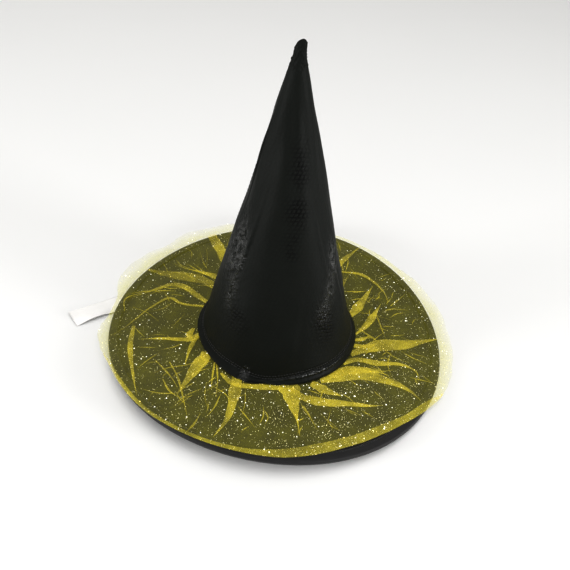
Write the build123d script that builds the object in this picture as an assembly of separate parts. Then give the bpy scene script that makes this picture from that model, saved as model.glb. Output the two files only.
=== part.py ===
from build123d import *
import math
import os

# Witch hat, in millimetres. The origin is the centre of the head opening, level with the brim's
# underside. +Z runs up through the crown and -Y is the hat's front.

# ---- driving dimensions -------------------------------------------------------------------
BRIM_RADIUS = 190.0
OPENING_RADIUS = 84.0  # inside of the tape round the head opening
SADDLE_RISE = 8.0  # the hooped brim is warped: its edge rises and falls by this much
SADDLE_HIGH_DEG = 74.0  # the bearing of the raised side; the opposite side is raised too

FABRIC = 0.6  # cloth of the brim's two faces
FOAM = 3.0  # stiffening sheet between them
BINDING = 0.8  # bias tape round the edge, folded double
BINDING_WIDTH = 10.0
THREAD = 0.4
TULLE = 0.3
HEM = 1.2  # the crown's turned-out hem
CROWN_FABRIC = 0.8
CROWN_STIFFENER = 1.6
GAP = 0.1  # air between neighbouring layers

APEX_HEIGHT = 361.0  # where the crown's straight sides would meet
CONE_RADIUS = 86.4  # of those sides, at CONE_LEVEL
CONE_LEVEL = 5.0
LEAN = (-10.0, -11.0)  # the apex stands this far off the axis
FLARE_HEIGHT = 16.0  # the crown spreads below this, towards its hem
FLARE = 3.6  # and is this much wider at CONE_LEVEL
HEM_RADIUS = 92.0

LABEL_BEARING_DEG = 172.5
LABEL_SKEW_DEG = 47.0  # the label is sewn in askew, turned this far towards the front
LABEL = (46.5, 24.0, 0.25)  # loose length, width, thickness of the care label
LABEL_FOLD = 13.5  # from the brim's edge to the line where the label bends
TULLE_REACH = (207.0, 190.0)  # half its width, and half its depth from front to back
TULLE_OFFSET = (-2.0, 3.0)
STITCH_WIDTH = 0.6  # of a row of stitches

# ---- levels of the brim's layers, measured on the axis -------------------------------------
LABEL_ROOM = LABEL[2] + GAP
UNDERSIDE = 0.0
FOAM_LEVEL = UNDERSIDE + FABRIC
TOP_FABRIC_LEVEL = FOAM_LEVEL + FOAM
TOP = TOP_FABRIC_LEVEL + FABRIC
BINDING_TOP = TOP + GAP + BINDING
TULLE_LEVEL = BINDING_TOP + THREAD + GAP
HEM_LEVEL = TULLE_LEVEL + TULLE + GAP
CROWN_LEVEL = HEM_LEVEL + HEM

BRIM_INNER = OPENING_RADIUS + BINDING + GAP
FABRIC_OUTER = BRIM_RADIUS - BINDING - GAP

# ---- heights of the crown ------------------------------------------------------------------
RIM_LEVEL = 325.0  # flat top of the crown's cone, under its limp tip
TIP_PIVOT = 330.0
TIP_BALL = 6.0
TIP_CLEARANCE = 0.3
TIP_CAP = 4.0  # thickness of the crown's closed top
TIP_CURL = [(0, 0, TIP_BALL), (0.6, 9, 5.4), (2.6, 16, 4.2)]  # sideways, up, radius
TIP_END = (3.0, 16, 4.0)
STIFFENER_TOP = RIM_LEVEL - 8
SKIRT = 4.0  # the crown is built this far below its hem, then trimmed

CUT = 80.0  # size of the blocks that trim thin sheets


def saddle_face():
    """The warped plane that every layer of the brim follows: a bilinear patch."""
    reach = BRIM_RADIUS * 1.2
    rise = 2 * SADDLE_RISE * (reach / BRIM_RADIUS) ** 2
    turn = math.radians(SADDLE_HIGH_DEG - 45)

    def corner(u, v):
        x = (u * math.cos(turn) - v * math.sin(turn)) * reach
        y = (u * math.sin(turn) + v * math.cos(turn)) * reach
        return (x, y, rise * u * v)

    side_a = Edge.make_line(corner(-1, -1), corner(-1, 1))
    side_b = Edge.make_line(corner(1, -1), corner(1, 1))
    return Face.make_surface_from_curves(side_a, side_b)


SADDLE = saddle_face()


def saddle_slab(level, thickness):
    """A warped slab whose underside crosses the axis at this level."""
    return Pos(0, 0, level) * extrude(SADDLE, amount=thickness, dir=(0, 0, 1))


def tube(inner, outer, low, high):
    """An upright ring round the axis."""
    middle = Pos(0, 0, (low + high) / 2)
    return middle * (Cylinder(outer, high - low) - Cylinder(inner, high - low))


def saddle_ring(inner, outer, level, thickness):
    """A ring of sheet that follows the warp."""
    margin = 3 * SADDLE_RISE
    return saddle_slab(level, thickness) & tube(inner, outer, level - margin, level + thickness + margin)


def axis_at(z):
    """The crown's centre line, which leans."""
    share = (z - CONE_LEVEL) / (APEX_HEIGHT - CONE_LEVEL)
    return (LEAN[0] * share, LEAN[1] * share)


def cone_radius(z):
    """Outer radius of the crown's straight sides."""
    return CONE_RADIUS * (APEX_HEIGHT - z) / (APEX_HEIGHT - CONE_LEVEL)


def crown_section(z, inset):
    """The crown's round outline at a height, taken in by an inset, with the flare near the base."""
    flare = FLARE * max(0.0, 1 - (z - CONE_LEVEL) / FLARE_HEIGHT)
    x, y = axis_at(z)
    return Pos(x, y, z) * Circle(cone_radius(z) + flare - inset)


def crown_body(low, high, inset):
    """The solid inside the crown's surface, between two heights."""
    bend = CONE_LEVEL + FLARE_HEIGHT
    levels = [low, bend, high] if low < bend < high else [low, high]
    return loft([crown_section(z, inset) for z in levels], ruled=True)


def crown_shell(low, high, outer_inset, inner_inset):
    """A wall of the crown, open at both ends."""
    return crown_body(low, high, outer_inset) - crown_body(low, high, inner_inset)


def label_seat(reach, z):
    """A place on the label's middle line, this far out from the brim's edge: its X runs outwards."""
    root = math.radians(LABEL_BEARING_DEG)
    aim = math.radians(LABEL_BEARING_DEG + LABEL_SKEW_DEG)
    outward = (math.cos(aim), math.sin(aim), 0)
    x = BRIM_RADIUS * math.cos(root) + reach * outward[0]
    y = BRIM_RADIUS * math.sin(root) + reach * outward[1]
    return Plane(origin=(x, y, z), x_dir=outward, z_dir=(0, 0, 1))


def warp_at(x, y):
    """How far the warp lifts or lowers the brim at a point."""
    phase = 2 * (math.atan2(y, x) - math.radians(SADDLE_HIGH_DEG))
    return SADDLE_RISE * (math.hypot(x, y) / BRIM_RADIUS) ** 2 * math.cos(phase)


# ---- brim ----------------------------------------------------------------------------------
HOOP = (184.0, 187.0, 1.6)  # inner radius, outer radius, thickness
HOOP_LEVEL = FOAM_LEVEL + (FOAM - HOOP[2]) / 2
HOOP_GAP = 2.0
SLEEVE = (26.0, 0.4, 0.05)  # length, wall, clearance
FOAM_RADIUS = HOOP[0] - 1.0
LABEL_CAUGHT = -17.0  # the label's inner end, as a distance from the brim's edge
LABEL_SPLIT = 0.3  # between the caught end and the loose part
SLIT_MARGIN = 2.0  # room past both ends of the caught part
SLIT_SIDE = 0.4  # and across it
BINDING_STITCHES = BRIM_RADIUS - BINDING_WIDTH + 1.5
NOTCH_START = LABEL_FOLD - 4.0  # the net is drawn back from here outwards
NOTCH_WIDTH = LABEL[1] + 10.0


def brim_bottom_fabric():
    return saddle_ring(BRIM_INNER, FABRIC_OUTER, UNDERSIDE, FABRIC)


def brim_foam():
    return saddle_ring(BRIM_INNER, FOAM_RADIUS, FOAM_LEVEL, FOAM)


def brim_top_fabric():
    return saddle_ring(BRIM_INNER, FABRIC_OUTER, TOP_FABRIC_LEVEL, FABRIC)


def at_hoop_joint(length):
    """A block across the edge of the brim, at the back where the hoop's two ends meet."""
    middle = (HOOP[0] + HOOP[1]) / 2
    return Pos(0, middle, HOOP_LEVEL) * Box(length, CUT, CUT)


def brim_hoop():
    return hoop_section(0) - at_hoop_joint(HOOP_GAP)


def hoop_section(grow):
    """The hoop, grown outwards all round."""
    return saddle_ring(HOOP[0] - grow, HOOP[1] + grow, HOOP_LEVEL - grow, HOOP[2] + 2 * grow)


def hoop_sleeve():
    length, wall, clearance = SLEEVE
    outer = hoop_section(wall + clearance)
    return (outer - hoop_section(clearance)) & at_hoop_joint(length)


def label_block(low, high, width):
    """An upright block along the label, between two distances from the brim's edge."""
    return label_seat((low + high) / 2, 0) * Box(high - low, width, CUT)


def label_tab():
    """The end of the care label that is caught under the binding."""
    ribbon = saddle_ring(BINDING_STITCHES, 2 * BRIM_RADIUS, UNDERSIDE - GAP / 2 - LABEL[2], LABEL[2])
    return ribbon & label_block(LABEL_CAUGHT, LABEL_FOLD - LABEL_SPLIT, LABEL[1])


def edge_binding():
    inner = BRIM_RADIUS - BINDING_WIDTH
    wall = BRIM_RADIUS - BINDING
    low = UNDERSIDE - LABEL_ROOM - BINDING
    upper_leg = saddle_ring(inner, BRIM_RADIUS, TOP + GAP, BINDING)
    lower_leg = saddle_ring(inner, BRIM_RADIUS, low, BINDING)
    edge = saddle_ring(wall, BRIM_RADIUS, low + BINDING, TOP + GAP - low - BINDING)
    tape = upper_leg + lower_leg + edge
    room = label_block(LABEL_CAUGHT - SLIT_MARGIN, LABEL_FOLD + SLIT_MARGIN, LABEL[1] + SLIT_SIDE)
    return tape - (saddle_slab(UNDERSIDE - LABEL_ROOM, LABEL_ROOM) & room)


def binding_thread():
    """The row of stitching through the binding: a ring above and a ring below."""
    outer = BINDING_STITCHES + STITCH_WIDTH
    below_level = UNDERSIDE - LABEL_ROOM - BINDING - THREAD
    above = saddle_ring(BINDING_STITCHES, outer, BINDING_TOP + GAP / 2, THREAD)
    below = saddle_ring(BINDING_STITCHES, outer, below_level, THREAD - GAP / 2)
    return Compound(children=[above.solid(), below.solid()])


def tulle_overlay():
    """The net, drawn back where the label comes out."""
    margin = 3 * SADDLE_RISE
    disc = Pos(*TULLE_OFFSET, TULLE_LEVEL - margin) * extrude(Ellipse(*TULLE_REACH), amount=2 * margin)
    hole = Pos(0, 0, TULLE_LEVEL) * Cylinder(BRIM_INNER, 2 * margin)
    notch = label_block(NOTCH_START, 2 * LABEL[0], NOTCH_WIDTH)
    return saddle_slab(TULLE_LEVEL, TULLE) & (disc - hole - notch)


# ---- head opening --------------------------------------------------------------------------
TAPE_LENGTH = 12.0
TAPE_LEVEL = UNDERSIDE - 3.0
SWEATBAND = 1.0
SWEATBAND_HEIGHT = 25.0
SWEATBAND_LEVEL = TAPE_LEVEL + TAPE_LENGTH + 1.5
SWEATBAND_STITCHES = SWEATBAND_LEVEL + SWEATBAND_HEIGHT - 2.0
LINING_INSET = CROWN_FABRIC + CROWN_STIFFENER + 2 * GAP


def opening_tape():
    """The tape that binds the seam where crown and brim meet."""
    return tube(OPENING_RADIUS, OPENING_RADIUS + BINDING, TAPE_LEVEL, TAPE_LEVEL + TAPE_LENGTH)


def sweatband():
    high = SWEATBAND_LEVEL + SWEATBAND_HEIGHT
    return crown_shell(SWEATBAND_LEVEL, high, LINING_INSET, LINING_INSET + SWEATBAND)


def sweatband_thread():
    inset = LINING_INSET + SWEATBAND + GAP / 2
    return crown_shell(SWEATBAND_STITCHES, SWEATBAND_STITCHES + STITCH_WIDTH, inset, inset + THREAD)


# ---- crown ---------------------------------------------------------------------------------
HEM_STITCHES = HEM_RADIUS - 1.8
BACK_TAPE = (38.0, RIM_LEVEL - 16.0, 10.0)  # its lower end, its upper end, its width


def below_crown():
    """Everything lower than the top of the hem."""
    return saddle_slab(CROWN_LEVEL - CUT, CUT)


def crown_hem():
    return saddle_ring(BRIM_INNER, HEM_RADIUS, HEM_LEVEL, HEM)


def hem_thread():
    return saddle_ring(HEM_STITCHES, HEM_STITCHES + STITCH_WIDTH, CROWN_LEVEL + GAP / 2, THREAD)


def tip_pivot():
    x, y = axis_at(TIP_PIVOT)
    return Pos(x, y, TIP_PIVOT)


def crown_cone():
    """The outer cloth cone, with a closed top that the limp tip sits on."""
    outside = crown_body(CROWN_LEVEL - SKIRT, RIM_LEVEL, 0)
    hollow = crown_body(CROWN_LEVEL - SKIRT, RIM_LEVEL - TIP_CAP, CROWN_FABRIC)
    socket = tip_pivot() * Sphere(TIP_BALL + TIP_CLEARANCE)
    return outside - hollow - below_crown() - socket


def crown_stiffener():
    inset = CROWN_FABRIC + GAP
    wall = crown_shell(CROWN_LEVEL - SKIRT, STIFFENER_TOP, inset, inset + CROWN_STIFFENER)
    return wall - below_crown()


def back_seam_tape():
    """The tape over the crown's one seam, up the inside at the back."""
    low, high, width = BACK_TAPE
    return crown_shell(low, high, LINING_INSET, LINING_INSET + FABRIC) & seam_slice(width)


def seam_slice(width):
    """An upright slice, this wide, that leans with the crown and covers its back."""
    faces = []
    for z in (0.0, APEX_HEIGHT):
        x, y = axis_at(z)
        faces.append(Pos(x, y + HEM_RADIUS / 2, z) * Rectangle(width, HEM_RADIUS))
    return loft(faces, ruled=True)


def crown_tip():
    """The unstiffened tip: a blunt horn that curls to one side."""
    end_x, end_z, end_radius = TIP_END
    horn = Sphere(TIP_BALL)
    horn += loft([Pos(x, 0, z) * Circle(radius) for x, z, radius in TIP_CURL])
    horn += Pos(end_x, 0, end_z) * Sphere(end_radius)
    return tip_pivot() * horn


def care_label():
    """The loose part of the label, outside its fold."""
    fold = label_seat(LABEL_FOLD, 0).origin
    low = UNDERSIDE - GAP / 2 - LABEL[2] + warp_at(fold.X, fold.Y)
    return label_seat(LABEL_FOLD + LABEL[0] / 2, low + LABEL[2] / 2) * Box(*LABEL)


PARTS = [
    brim_bottom_fabric,
    brim_foam,
    brim_top_fabric,
    brim_hoop,
    hoop_sleeve,
    label_tab,
    edge_binding,
    binding_thread,
    tulle_overlay,
    opening_tape,
    sweatband,
    sweatband_thread,
    crown_hem,
    hem_thread,
    crown_cone,
    crown_stiffener,
    back_seam_tape,
    crown_tip,
    care_label,
]

os.makedirs("parts", exist_ok=True)
for make in PARTS:
    export_step(make(), f"parts/{make.__name__}.step")
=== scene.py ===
import math
from collections import namedtuple

import bpy
import numpy as np
from mathutils import Matrix, Vector


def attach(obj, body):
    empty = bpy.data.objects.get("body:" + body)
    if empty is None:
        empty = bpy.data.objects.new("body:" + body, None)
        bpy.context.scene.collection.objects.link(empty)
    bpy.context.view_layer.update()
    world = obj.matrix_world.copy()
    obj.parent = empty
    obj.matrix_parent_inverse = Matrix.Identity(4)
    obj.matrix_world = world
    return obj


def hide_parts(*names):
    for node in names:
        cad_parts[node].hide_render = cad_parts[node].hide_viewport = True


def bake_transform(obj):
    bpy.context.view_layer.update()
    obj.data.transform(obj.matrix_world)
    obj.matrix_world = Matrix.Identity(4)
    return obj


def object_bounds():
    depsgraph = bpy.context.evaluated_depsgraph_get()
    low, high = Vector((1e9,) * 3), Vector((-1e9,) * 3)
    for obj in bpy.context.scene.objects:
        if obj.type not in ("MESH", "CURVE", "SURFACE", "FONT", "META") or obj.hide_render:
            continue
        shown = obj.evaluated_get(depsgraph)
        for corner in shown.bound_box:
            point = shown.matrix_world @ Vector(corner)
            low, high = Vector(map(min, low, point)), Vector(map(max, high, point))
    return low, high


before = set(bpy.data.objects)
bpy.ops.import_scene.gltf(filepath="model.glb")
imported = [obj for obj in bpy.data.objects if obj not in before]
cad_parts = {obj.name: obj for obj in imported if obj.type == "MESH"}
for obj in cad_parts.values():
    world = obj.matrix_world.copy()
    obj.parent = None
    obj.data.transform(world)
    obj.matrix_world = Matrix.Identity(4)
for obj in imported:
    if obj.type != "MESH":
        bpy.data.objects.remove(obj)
CAD_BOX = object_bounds()

# Metres, in the hat's own frame: the origin is the centre of the head opening, +Z runs up through
# the crown and -Y is the front. Bearings are degrees round from +X, so 270 is the front.

MM = 0.001

# ---- the hat's driving sizes ----------------------------------------------------------------
BRIM_RADIUS = 190 * MM
BRIM_INNER = 85 * MM
WARP = 8 * MM  # the brim's edge rises and falls by this much
WARP_BEARING = 74  # one of the two raised sides
BRIM_THICK = 4.2 * MM  # top cloth, foam and bottom cloth
CLOTH = 0.6 * MM
TAPE = 0.8 * MM
TAPE_WIDTH = 10 * MM
LABEL_ROOM = 0.35 * MM

APEX = 361 * MM  # where the crown's straight sides would meet
CONE_RADIUS = 86.4 * MM  # of those sides, at CONE_LEVEL
CONE_LEVEL = 5 * MM
LEAN = (-10 * MM, -11 * MM)  # how far the apex stands off the axis
CROWN_CLOTH = 0.8 * MM
DIAMOND = (5.0 * MM, 7.4 * MM)  # one of the crown cloth's embossed diamonds
GROOVE = (0.05, 0.32)  # the groove's floor and its lip, as shares of a diamond
HEM_LEVEL = 6.3 * MM  # the hem's edge lies on the net
TIP_TOP = 350.5 * MM
TIP_START = 325 * MM

NET_LEVEL = 4.95 * MM
NET_AT_EDGE = 5.55 * MM  # it passes over the edge tape
NET_INNER = 86 * MM

FLOOR = CAD_BOX[0].z


def axis_at(z):
    """The crown's centre line, which leans."""
    share = (z - CONE_LEVEL) / (APEX - CONE_LEVEL)
    return LEAN[0] * share, LEAN[1] * share


def cone_radius(z):
    return CONE_RADIUS * (APEX - z) / (APEX - CONE_LEVEL)


def warp(x, y):
    """How far the brim's two-lobed warp lifts a point."""
    turn = math.radians(WARP_BEARING)
    u = x * math.cos(turn) + y * math.sin(turn)
    v = y * math.cos(turn) - x * math.sin(turn)
    return WARP * (u * u - v * v) / BRIM_RADIUS**2


# ---- small tools ----------------------------------------------------------------------------
def columns_of(count):
    return np.linspace(0, 2 * math.pi, count, endpoint=False)


def smooth_step(low, high, value):
    share = np.clip((value - low) / (high - low), 0, 1)
    return share * share * (3 - 2 * share)


def hill(value, middle, width):
    """A smooth bump, 1 at its middle."""
    return np.exp(-(((value - middle) / width) ** 2))


def turned(bearings, middle):
    """How far bearings are from a middle one, from -180 to 180."""
    return (bearings - middle + 180) % 360 - 180


def around(table, blur=3.0):
    """A smooth function of bearing through (bearing, value) pairs."""
    steps = np.arange(0, 360, 0.5)
    bearings, values = zip(*sorted(table))
    line = np.interp(steps, bearings, values, period=360)
    kernel = hill(turned(steps, 0), 0, blur)
    line = np.real(np.fft.ifft(np.fft.fft(line) * np.fft.fft(kernel / kernel.sum())))
    return lambda bearing: np.interp(np.asarray(bearing) % 360, steps, line, period=360)


def ripples(theta, height, seed, count, turns, pitch, folded=False):
    """Seeded waves over a closed surface: theta in radians round it, height in metres along it."""
    rng = np.random.default_rng(seed)
    total = 0.0
    for _ in range(count):
        round_it = int(rng.integers(turns[0], turns[1] + 1)) * (1 if rng.random() < 0.5 else -1)
        along = 2 * math.pi / rng.uniform(*pitch)
        phase, bend = rng.uniform(0, 2 * math.pi, 2)
        twist = 1.3 * np.sin(theta * int(rng.integers(1, 5)) + bend + height * along * 0.31)
        wave = np.sin(round_it * theta + along * height + phase + twist)
        total = total + (1 - 2 * np.abs(wave) if folded else wave)
    return total / math.sqrt(count)


def grid(rows, columns, close_rows=False, close_columns=False):
    """A grid's faces, and each corner's row and column, which count on past the end where it closes."""
    row, column = np.meshgrid(
        np.arange(rows if close_rows else rows - 1),
        np.arange(columns if close_columns else columns - 1),
        indexing="ij",
    )
    corners = [(row, column), (row, column + 1), (row + 1, column + 1), (row + 1, column)]
    faces = np.stack([(a % rows) * columns + b % columns for a, b in corners], -1)
    where = np.stack([np.stack([a, b], -1) for a, b in corners], -2)
    return faces.reshape(-1, 4), where.reshape(-1, 4, 2)


def show(name, data):
    """A new object in the scene that holds this mesh, light or camera."""
    made = bpy.data.objects.new(name, data)
    bpy.context.scene.collection.objects.link(made)
    return made


def solid(name, points, faces, material, smooth=True):
    """A mesh object from points and faces."""
    mesh = bpy.data.meshes.new(name)
    mesh.from_pydata(points, [], faces)
    if smooth:
        mesh.polygons.foreach_set("use_smooth", [True] * len(mesh.polygons))
    mesh.materials.append(material)
    return show(name, mesh)


def make(name, points, faces, uv, material, loose=()):
    """A smooth mesh object from points, four-cornered faces with each corner's UV, and loose faces."""
    piece = solid(name, points.tolist(), [*faces.tolist(), *(list(f) for f in loose)], material)
    mesh = piece.data
    flat = np.zeros((len(mesh.loops), 2), np.float32)
    flat[: faces.size] = uv.reshape(-1, 2)
    mesh.uv_layers.new(name="cloth").data.foreach_set("uv", flat.ravel())
    mesh.update()
    return piece


def mark(piece, name, values):
    """A number for each of a piece's points, which its material reads."""
    piece.data.attributes.new(name, "FLOAT", "POINT").data.foreach_set("value", values)


def outward(points, faces):
    """Whether a closed surface's faces already face outwards."""
    a, b, c = points[faces[:, 0]], points[faces[:, 1]], points[faces[:, 2]]
    d = points[faces[:, 3]]
    volume = (np.cross(a, b) * c).sum() + (np.cross(a, c) * d).sum()
    return volume > 0


def ring(name, radius, height, material, lift=True, centre=None, stretch=None):
    """A closed ring. Its section goes round the rows, and its columns go round the hat."""
    rows, columns = radius.shape
    theta = columns_of(columns)
    x, y = radius * np.cos(theta), radius * np.sin(theta)
    z = height + (warp(x, y) if lift else 0)
    if centre:
        shift_x, shift_y = centre(height)
        x, y = x + shift_x, y + shift_y
    points = np.stack([x, y, z], -1).reshape(-1, 3)
    faces, where = grid(rows, columns, close_rows=True, close_columns=True)
    path = np.hypot(np.diff(radius[:, 0], append=radius[0, 0]), np.diff(height[:, 0], append=height[0, 0]))
    path = np.concatenate([[0], np.cumsum(path)])
    mean = stretch or float(radius.mean())
    uv = np.stack([where[..., 1] * (2 * math.pi / columns) * mean, path[where[..., 0]]], -1)
    if not outward(points, faces):
        faces, uv = faces[:, ::-1], uv[:, ::-1]
    return make(name, points, faces, uv, material)


# ---- materials ------------------------------------------------------------------------------
PAST_EDGE = 2.2  # how much more cover the net has just past the brim, where its threads gather light


class Look:
    """A procedural material: a Principled shader, and short calls for the nodes that feed it."""

    def __init__(self, name, **sockets):
        self.material = bpy.data.materials.new(name)
        self.material.use_nodes = True
        self.nodes = self.material.node_tree.nodes
        self.links = self.material.node_tree.links
        self.shader = self.nodes["Principled BSDF"]
        for socket, value in sockets.items():
            self.shader.inputs[socket.replace("_", " ")].default_value = value

    def link(self, source, target):
        self.links.new(source, target)

    def node(self, kind, **settings):
        made = self.nodes.new(kind)
        for key, value in settings.items():
            setattr(made, key, value)
        return made

    def cloth_uv(self):
        made = self.node("ShaderNodeUVMap", uv_map="cloth")
        return made.outputs["UV"]

    def place(self):
        return self.node("ShaderNodeTexCoord").outputs["Object"]

    def math(self, operation, a, b=0.0, c=None):
        made = self.node("ShaderNodeMath", operation=operation)
        for slot, value in zip(made.inputs, (a, b, c)):
            if value is None:
                continue
            if isinstance(value, (int, float)):
                slot.default_value = value
            else:
                self.link(value, slot)
        return made.outputs[0]

    def split(self, vector):
        made = self.node("ShaderNodeSeparateXYZ")
        self.link(vector, made.inputs[0])
        return made.outputs[0], made.outputs[1]

    def noise(self, vector, scale, detail=3.0, roughness=0.55):
        made = self.node("ShaderNodeTexNoise")
        self.link(vector, made.inputs["Vector"])
        made.inputs["Scale"].default_value = scale
        made.inputs["Detail"].default_value = detail
        made.inputs["Roughness"].default_value = roughness
        return made.outputs["Fac"]

    def cells(self, vector, scale, feature="F1"):
        made = self.node("ShaderNodeTexVoronoi", feature=feature)
        self.link(vector, made.inputs["Vector"])
        made.inputs["Scale"].default_value = scale
        return made.outputs["Distance"]

    def ramp(self, value, low, high, to_low=0.0, to_high=1.0):
        made = self.node("ShaderNodeMapRange", interpolation_type="SMOOTHSTEP")
        self.link(value, made.inputs["Value"])
        limits = {"From Min": low, "From Max": high, "To Min": to_low, "To Max": to_high}
        for socket, number in limits.items():
            made.inputs[socket].default_value = number
        return made.outputs["Result"]

    def mix(self, share, first, second):
        made = self.node("ShaderNodeMix", data_type="RGBA")
        self.link(share, made.inputs[0])
        made.inputs[6].default_value = (*first, 1)
        made.inputs[7].default_value = (*second, 1)
        return made.outputs[2]

    def attribute(self, name):
        return self.node("ShaderNodeAttribute", attribute_name=name).outputs["Fac"]

    def bump(self, height, distance, strength=1.0):
        made = self.node("ShaderNodeBump")
        made.inputs["Strength"].default_value = strength
        made.inputs["Distance"].default_value = distance
        self.link(height, made.inputs["Height"])
        previous = self.shader.inputs["Normal"].links
        if previous:
            self.link(previous[0].from_socket, made.inputs["Normal"])
        self.link(made.outputs["Normal"], self.shader.inputs["Normal"])

    def colour(self, source):
        self.link(source, self.shader.inputs["Base Color"])

    def rough(self, source):
        self.link(source, self.shader.inputs["Roughness"])


def crown_look():
    """Black cloth, embossed all over with small snakeskin diamonds, with painted shade in their grooves, and
    glossier where it is crumpled.
    """
    look = Look("crown_coated_cloth", Specular_IOR_Level=0.12, Coat_Roughness=0.15)
    u, v = look.split(look.cloth_uv())
    across, along = look.math("MULTIPLY", u, 1 / DIAMOND[0]), look.math("MULTIPLY", v, 1 / DIAMOND[1])
    one = look.math("PINGPONG", look.math("ADD", across, along), 0.5)
    two = look.math("PINGPONG", look.math("SUBTRACT", across, along), 0.5)
    pillow = look.ramp(look.math("MINIMUM", one, two), *GROOVE)
    worn = look.ramp(look.noise(look.cloth_uv(), 55, 2), 0.30, 0.60, 0.25, 1.0)
    crisp = look.math("MULTIPLY", look.attribute("embossed"), worn)
    crumpled = look.attribute("crumpled")
    glossy = look.ramp(crumpled, 0.22, 0.70)
    crumpled = look.ramp(crumpled, 0.1, 0.55)
    look.bump(look.math("MULTIPLY", pillow, crisp), 0.40 * MM, 0.9)
    stretched = look.node("ShaderNodeMapping")
    look.link(look.cloth_uv(), stretched.inputs["Vector"])
    stretched.inputs["Scale"].default_value = (1.0, 0.45, 1.0)
    creases = look.noise(stretched.outputs["Vector"], 420, 3, 0.6)
    look.bump(look.math("MULTIPLY", creases, look.math("ADD", crumpled, 0.08)), 1.6 * MM, 1.0)
    look.bump(look.noise(look.cloth_uv(), 1300, 2), 0.05 * MM, 0.6)
    # Painted shade: the colour darkens in the grooves between the diamonds, most where the emboss is
    # crispest.
    painted_groove_shade = look.math("MULTIPLY", look.math("SUBTRACT", 1.0, pillow), crisp)
    look.colour(look.mix(painted_groove_shade, (0.0080, 0.0095, 0.0078), (0.0003, 0.0003, 0.0003)))
    look.rough(look.math("SUBTRACT", 0.55, look.math("MULTIPLY", crumpled, 0.30)))
    patchy = look.ramp(look.noise(look.cloth_uv(), 150, 4), 0.40, 0.58, 0.10, 1.0)
    look.link(look.math("MULTIPLY", glossy, patchy), look.shader.inputs["Coat Weight"])
    look.link(look.shader.inputs["Normal"].links[0].from_socket, look.shader.inputs["Coat Normal"])
    return look.material


def felt_look(name, dark, light):
    """Matte pressed fibres."""
    look = Look(name, Roughness=0.9, Specular_IOR_Level=0.2, Sheen_Weight=0.15, Sheen_Roughness=0.6)
    fibres = look.noise(look.place(), 1400, 3, 0.7)
    clumps = look.noise(look.place(), 160, 3)
    look.colour(look.mix(clumps, dark, light))
    look.bump(fibres, 0.12 * MM, 0.8)
    look.bump(clumps, 0.3 * MM, 0.3)
    return look.material


def woven_look(name, dark, light, across_mm, along_mm, roughness, depth=0.12):
    """A tape or ribbon: ribs one way and finer threads the other."""
    look = Look(name, Roughness=roughness, Specular_IOR_Level=0.3, Sheen_Weight=0.1)
    u, v = look.split(look.cloth_uv())
    rib = look.math("PINGPONG", look.math("MULTIPLY", u, 1 / (across_mm * MM)), 0.5)
    thread = look.math("PINGPONG", look.math("MULTIPLY", v, 1 / (along_mm * MM)), 0.5)
    weave = look.math("ADD", look.math("MULTIPLY", rib, 1.4), look.math("MULTIPLY", thread, 0.6))
    look.bump(weave, depth * MM, 0.8)
    look.colour(look.mix(look.math("MULTIPLY", weave, 0.8), dark, light))
    look.bump(look.noise(look.place(), 900, 3), 0.06 * MM, 0.5)
    return look.material


def thread_look():
    """Black sewing thread with a little shine."""
    look = Look("black_thread", Roughness=0.42, Specular_IOR_Level=0.5)
    look.colour(look.mix(look.noise(look.place(), 2500, 2), (0.014, 0.014, 0.015), (0.060, 0.060, 0.063)))
    look.bump(look.noise(look.place(), 4000, 1), 0.05 * MM, 0.6)
    return look.material


def net_look(name, cover, deep, pale, uneven=(0.8, 1.15), outer=1.0, beyond=1.0, folded=False):
    """Fine net: a thread lattice, of which the open cells let most light through."""
    look = Look(name, Roughness=0.55, Specular_IOR_Level=0.25, Sheen_Weight=0.1)
    cells = look.cells(look.cloth_uv(), 1 / (1.15 * MM), "DISTANCE_TO_EDGE")
    threads = look.ramp(cells, 0.03, 0.16, 1.0, 0.0)
    cloud = look.ramp(look.noise(look.cloth_uv(), 38, 3), 0.32, 0.68, *uneven)
    grain = look.ramp(look.noise(look.cloth_uv(), 420, 3), 0.3, 0.7, 0.85, 1.15)
    weave = look.math("ADD", look.math("MULTIPLY", threads, 0.35), 0.85)
    distance = look.node("ShaderNodeVectorMath", operation="LENGTH")
    look.link(look.place(), distance.inputs[0])
    thinning = look.ramp(distance.outputs["Value"], 95 * MM, 185 * MM, 1.0, outer)
    cover = look.math("MULTIPLY", thinning, cover)
    if beyond != 1.0:
        glow = look.ramp(distance.outputs["Value"], BRIM_RADIUS, 212 * MM, beyond, 0.7)
        past = look.math("GREATER_THAN", distance.outputs["Value"], BRIM_RADIUS - 0.4 * MM)
        share = look.math("ADD", 1.0, look.math("MULTIPLY", past, look.math("SUBTRACT", glow, 1.0)))
        cover = look.math("MULTIPLY", cover, share)
    if folded:
        cover = look.math("MULTIPLY", cover, look.attribute("layers"))
    alpha = look.math("MULTIPLY", look.math("MULTIPLY", cloud, grain), look.math("MULTIPLY", weave, cover))
    look.link(alpha, look.shader.inputs["Alpha"])
    look.colour(look.mix(look.noise(look.cloth_uv(), 150, 3), deep, pale))
    return look.material


def metal_look(name, roughness):
    look = Look(name, Metallic=1.0, Roughness=roughness)
    look.colour(look.mix(look.noise(look.place(), 700, 4), (0.36, 0.36, 0.37), (0.55, 0.55, 0.56)))
    look.bump(look.noise(look.place(), 1800, 2), 0.03 * MM, 0.5)
    return look.material


def glitter_look(name, dark, light, glow):
    look = Look(name, Metallic=0.35, Roughness=0.28, Specular_IOR_Level=0.8)
    look.colour(look.mix(look.noise(look.place(), 400, 2), dark, light))
    # Painted glow: the flakes give off light of their own colour, standing in for their glints.
    look.shader.inputs["Emission Color"].default_value = (*light, 1)
    look.shader.inputs["Emission Strength"].default_value = glow
    look.bump(look.noise(look.place(), 5000, 1), 0.02 * MM, 0.4)
    return look.material


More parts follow.
